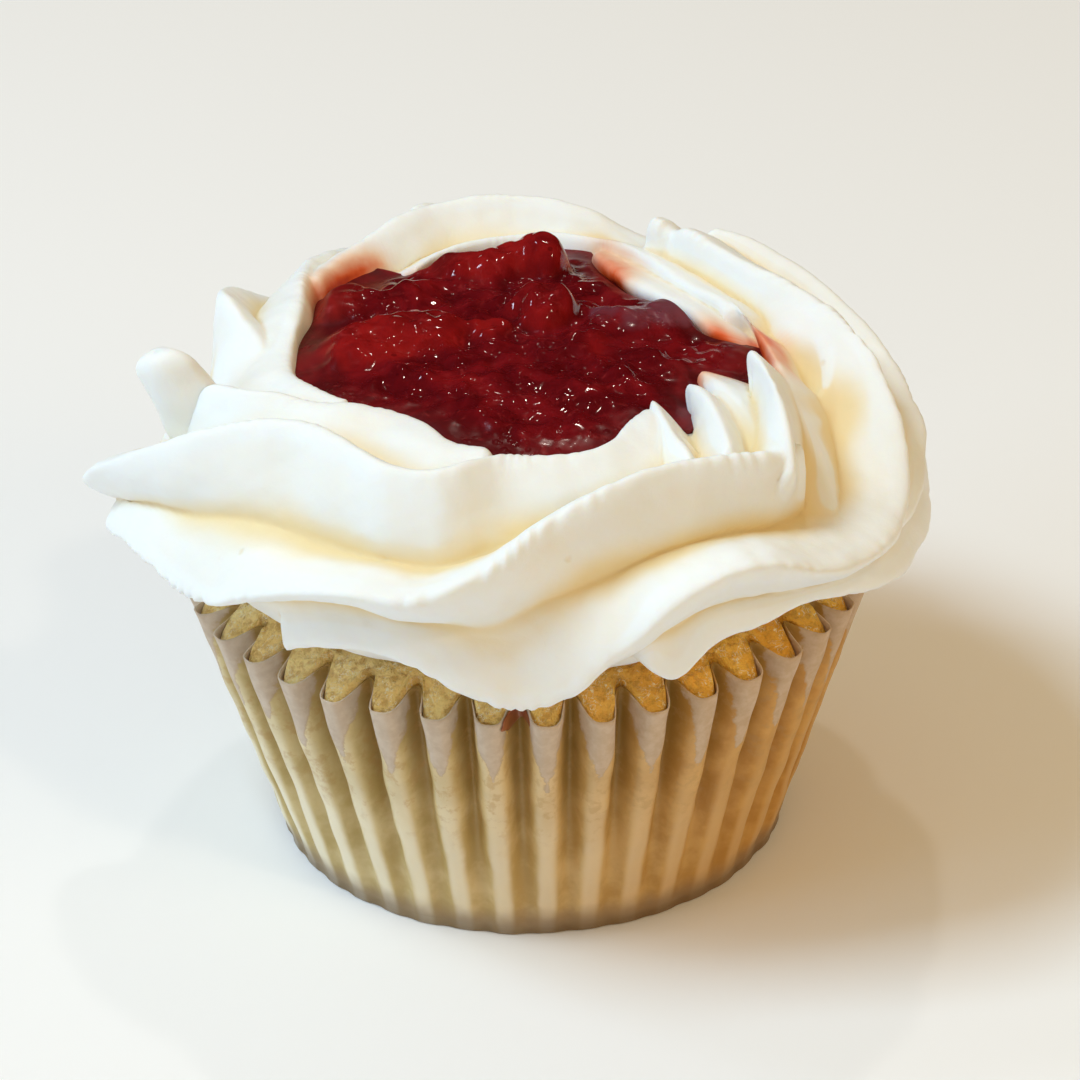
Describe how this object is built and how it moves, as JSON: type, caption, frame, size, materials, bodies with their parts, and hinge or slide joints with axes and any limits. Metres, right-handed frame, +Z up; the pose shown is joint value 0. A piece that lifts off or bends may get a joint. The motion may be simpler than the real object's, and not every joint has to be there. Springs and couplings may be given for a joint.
{
  "type": "cupcake",
  "caption": "Cupcake in a fluted paper case, topped with a piped swirl ring of whipped cream around a glossy heap of strawberry jam.",
  "frame": {"origin": "middle of the flat base of the paper case, on the surface that it stands on", "axes": "+Z up, -Y towards the viewer of the picture, +X to the right"},
  "size_m": [0.085, 0.0805, 0.056],
  "materials": {
    "paper": "thin baking paper, grease-soaked and translucent below, dry and white at the rim",
    "sponge": "moist golden crumb with a finely pitted crust",
    "cream": "soft whipped cream, satin",
    "jam": "wet, dark red, with small highlights"
  },
  "bodies": {
    "root": {"paper_case": "paper", "cake": "sponge", "frosting": "cream", "jam": "jam"}
  },
  "joints": []
}
